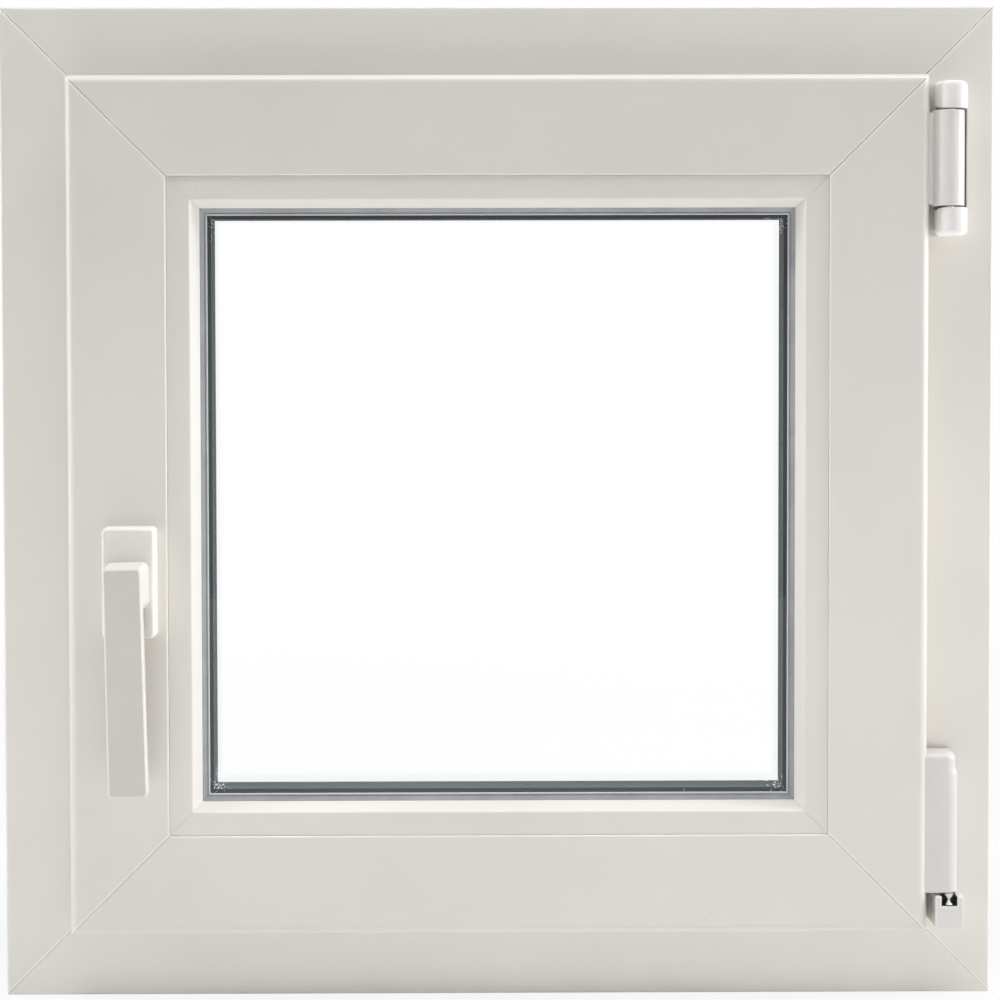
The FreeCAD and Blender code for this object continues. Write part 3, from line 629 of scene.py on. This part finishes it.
def make_block():
    """The bottom hinge's block on the frame: a notch in its top for the pin, a slit in its sash side, and a
    near-black sheet lining the notch as painted shade.
    """
    x0, x1, z0, z1, front = HINGE_X - 8.4, HINGE_X + 8.4, 46.4, 65.4, -51.0
    n0, n1, floor, notch_back = HINGE_X - 4.7, HINGE_X + 4.7, 59.6, -38.6
    rim, slit, slit_low, slit_high, slit_front, slit_back = 0.9, 3.0, 54.4, 62.8, -48.6, -46.0
    foot_round, top_round, notch_round = 0.9, 1.2, 0.3
    play, lip, wall, lining_drop = 0.02, 0.25, 0.45, 0.3
    lining_front, lip_end, lining_back, lining_end = -50.0, -49.7, -45.5, -45.2

    def outline(inset=0.0, hollow=0.0, notched=True):
        bottom = floor - inset if notched else z1 - inset
        left, depth = x0 + inset, x0 + inset + hollow
        right, low, high = x1 - inset, z0 + inset, z1 - inset
        soft = notch_round if notched else 0.0
        return rounded([(left, low, foot_round), (right, low, foot_round), (right, high, top_round),
                        (n1 + inset, high, soft), (n1 + inset, bottom, soft), (n0 - inset, bottom, soft),
                        (n0 - inset, high, soft), (left, high, top_round), (left, slit_high, 0),
                        (depth, slit_high, 0), (depth, slit_low, 0), (left, slit_low, 0)], 4)

    rings = [in_depth(outline(inset), front + rim - rise) for inset, rise in reversed(quarter(rim))]
    rings += [in_depth(outline(hollow=h), slit_front) for h in (0, slit)]
    rings += [in_depth(outline(hollow=h), slit_back) for h in (slit, 0)]
    rings.append(in_depth(outline(), notch_back))
    rings += [in_depth(outline(notched=False), y) for y in (notch_back, FRAME_ROOM)]
    loft("hinge_block", rings, hinge_paint, "window", ["bottom_hinge_frame_block"])

    # a thin near-black sheet inside the notch: painted shade for the hollow
    def lining(thick=wall, closed=False):
        o0, o1, bottom, top = n0 + play, n1 - play, floor + play, z1 - lining_drop
        inner = top if closed else bottom + thick
        return [Vector(p) for p in ((o0, top), (o0, bottom), (o1, bottom), (o1, top), (o1 - thick, top),
                                    (o1 - thick, inner), (o0 + thick, inner), (o0 + thick, top))]

    rings = [in_depth(lining(lip), lining_front)]
    rings += [in_depth(lining(), y) for y in (lip_end, lining_back)]
    rings += [in_depth(lining(closed=True), y) for y in (lining_back, lining_end)]
    loft("hinge_block_lining", rings, notch_shade, "window")


def turned(name, profile, y, replaced=()):
    """A round steel part on the hinge's line, from its radii and heights."""
    rings = []
    for radius, z in profile:
        circle = [(HINGE_X + radius * math.cos(t), y + radius * math.sin(t)) for t in full_turn(40)]
        rings.append(level(circle, z))
    loft(name, rings, steel, "window", replaced)


def make_bottom_pin():
    """The bottom hinge's pin, waisted in the block's notch, and the waisted adjuster in front of it."""
    adjuster_y = -48.15
    turned("hinge_pin_waisted", ((3.0, 51.4), (3.0, 59.2), (2.3, 59.7), (2.0, 60.3), (1.3, 62.4), (1.15, 63.0),
                                 (1.3, 63.6), (2.3, 65.6), (2.6, 66.3), (3.0, 67.2), (3.0, 95.8)),
           HINGE_Y, ["bottom_hinge_pin"])
    turned("hinge_adjuster", ((2.3, 60.1), (2.6, 60.3), (2.5, 60.8), (1.4, 62.2), (1.15, 62.8), (1.5, 63.5),
                              (2.5, 65.3), (2.6, 65.8), (2.6, 66.9)), adjuster_y)


make_rosette()
make_lever()
make_cap("hinge_cap_top", 536.5, 553.0, "top_hinge_cap_upper")
make_cap("hinge_cap_low", 477.7, 461.2, "top_hinge_cap_lower")
make_barrel()
make_cover()
make_block()
make_bottom_pin()


# Floor, light and camera

FLOOR_REACH = 5.0
FLOOR_LEVEL = -0.0002
SHADOW_FADE = (0.6, 1.6)
SHADOW_SHARE = (0.85, 1.0)
TENT_LEVEL = 0.13
COOL = (0.975, 0.99, 1.02)
NEUTRAL = (1.0, 1.0, 1.0)
SENSOR = 36.0
FOCAL_RATIO = 1.77256
CAMERA_SHIFT = (0.023, -0.13)
CAMERA_PLACE = (-0.01721, -1.10263, 0.40829)
CAMERA_YAW = -0.0044
CAMERA_DIP = 0.0254
CAMERA_ROLL = -0.002


def white_to_eye(tree):
    """1 for rays that the viewer sees, straight or in gloss or glass, and 0 for rays that light the object."""
    path = add(tree, "ShaderNodeLightPath")
    seen = maths(tree, "MAXIMUM", path.outputs["Is Camera Ray"], path.outputs["Is Glossy Ray"])
    return maths(tree, "MAXIMUM", seen, path.outputs["Is Transmission Ray"])


def make_floor():
    """A white floor that keeps the window's shadow near it and passes into the white around."""
    mesh = bpy.data.meshes.new("floor")
    sides = ((-1, -1), (1, -1), (1, 1), (-1, 1))
    corners = [(FLOOR_REACH * x, FLOOR_REACH * y, FLOOR_LEVEL) for x, y in sides]
    mesh.from_pydata(corners, [], [(0, 1, 2, 3)])
    floor = bpy.data.objects.new("floor", mesh)
    bpy.context.scene.collection.objects.link(floor)
    mat, tree, bsdf = shader("floor_white")
    bsdf.inputs["Base Color"].default_value = FLOOR_WHITE
    bsdf.inputs["Roughness"].default_value = 0.9
    glow = add(tree, "ShaderNodeEmission", {"Color": PURE_WHITE, "Strength": 1.0})
    away = add(tree, "ShaderNodeVectorMath", {0: place(tree, (1, 1, 1))}, operation="LENGTH")
    share = maths(tree, "MULTIPLY", white_to_eye(tree),
                  spread(tree, away.outputs["Value"], *SHADOW_FADE, *SHADOW_SHARE))
    both = add(tree, "ShaderNodeMixShader", {0: share, 1: bsdf.outputs[0], 2: glow.outputs[0]})
    tree.links.new(both.outputs[0], tree.nodes["Material Output"].inputs["Surface"])
    mesh.materials.append(mat)


def make_world():
    """A dim white tent for the lit object, and plain white to the eye."""
    world = bpy.data.worlds.new("tent")
    bpy.context.scene.world = world
    world.use_nodes = True
    tree = world.node_tree
    tree.nodes.clear()
    light = add(tree, "ShaderNodeBackground", {"Color": PURE_WHITE, "Strength": TENT_LEVEL})
    white = add(tree, "ShaderNodeBackground", {"Color": PURE_WHITE, "Strength": 1.0})
    both = add(tree, "ShaderNodeMixShader", {0: white_to_eye(tree), 1: light.outputs[0], 2: white.outputs[0]})
    out = add(tree, "ShaderNodeOutputWorld")
    tree.links.new(both.outputs[0], out.inputs["Surface"])


def softbox(name, where, size, radiance, tint=COOL, aim=WINDOW_MIDDLE, beam=math.pi):
    """A panel lamp turned to a point, with the angle that its beam spreads to. It lights without being seen."""
    data = bpy.data.lights.new(name, "AREA")
    data.shape = "RECTANGLE"
    data.size, data.size_y = size
    data.energy = radiance * math.pi * size[0] * size[1]
    data.color = tint
    data.spread = beam
    lamp = bpy.data.objects.new(name, data)
    bpy.context.scene.collection.objects.link(lamp)
    lamp.location = where
    lamp.rotation_euler = (Vector(where) - Vector(aim)).to_track_quat("Z", "Y").to_euler()
    lamp.visible_camera = False
    lamp.visible_transmission = False


def make_lamps():
    """Panels beside, above and below the window, near its plane, one behind it, and a key at the upper right."""
    softbox("panel_right", (2.2, -0.26, 0.45), (0.36, 2.0), 17.5)
    softbox("panel_left", (-2.2, -0.26, 0.45), (0.36, 2.0), 12.5)
    softbox("panel_top", (0.05, -0.36, 2.3), (2.0, 0.36), 13.5)
    softbox("panel_low", (0.0, -0.35, 0.02), (1.6, 0.4), 0.62, NEUTRAL)
    softbox("low_grid", (0.0, -0.24, 0.02), (1.0, 0.16), 0.33, COOL, (0.0, -0.1, 0.5), math.radians(60))
    softbox("panel_back", (0.4, 2.4, 0.55), (1.0, 1.0), 0.6, NEUTRAL, WINDOW_MIDDLE, math.radians(50))
    softbox("key", (1.5, -1.6, 1.5), (0.8, 0.8), 1.9, NEUTRAL)


def make_camera():
    """The photo's view, from a fit to its edges."""
    data = bpy.data.cameras.new("camera")
    data.sensor_width = SENSOR
    data.lens = FOCAL_RATIO * SENSOR
    data.shift_x, data.shift_y = CAMERA_SHIFT
    camera = bpy.data.objects.new("camera", data)
    bpy.context.scene.collection.objects.link(camera)
    turn = Matrix.Rotation(CAMERA_YAW, 4, "Z") @ Matrix.Rotation(math.pi / 2 - CAMERA_DIP, 4, "X")
    turn = turn @ Matrix.Rotation(CAMERA_ROLL, 4, "Z")
    camera.matrix_world = Matrix.Translation(CAMERA_PLACE) @ turn
    bpy.context.scene.camera = camera


make_floor()
make_world()
make_lamps()
make_camera()
bpy.context.scene.view_settings.view_transform = "Standard"

bpy.context.view_layer.update()
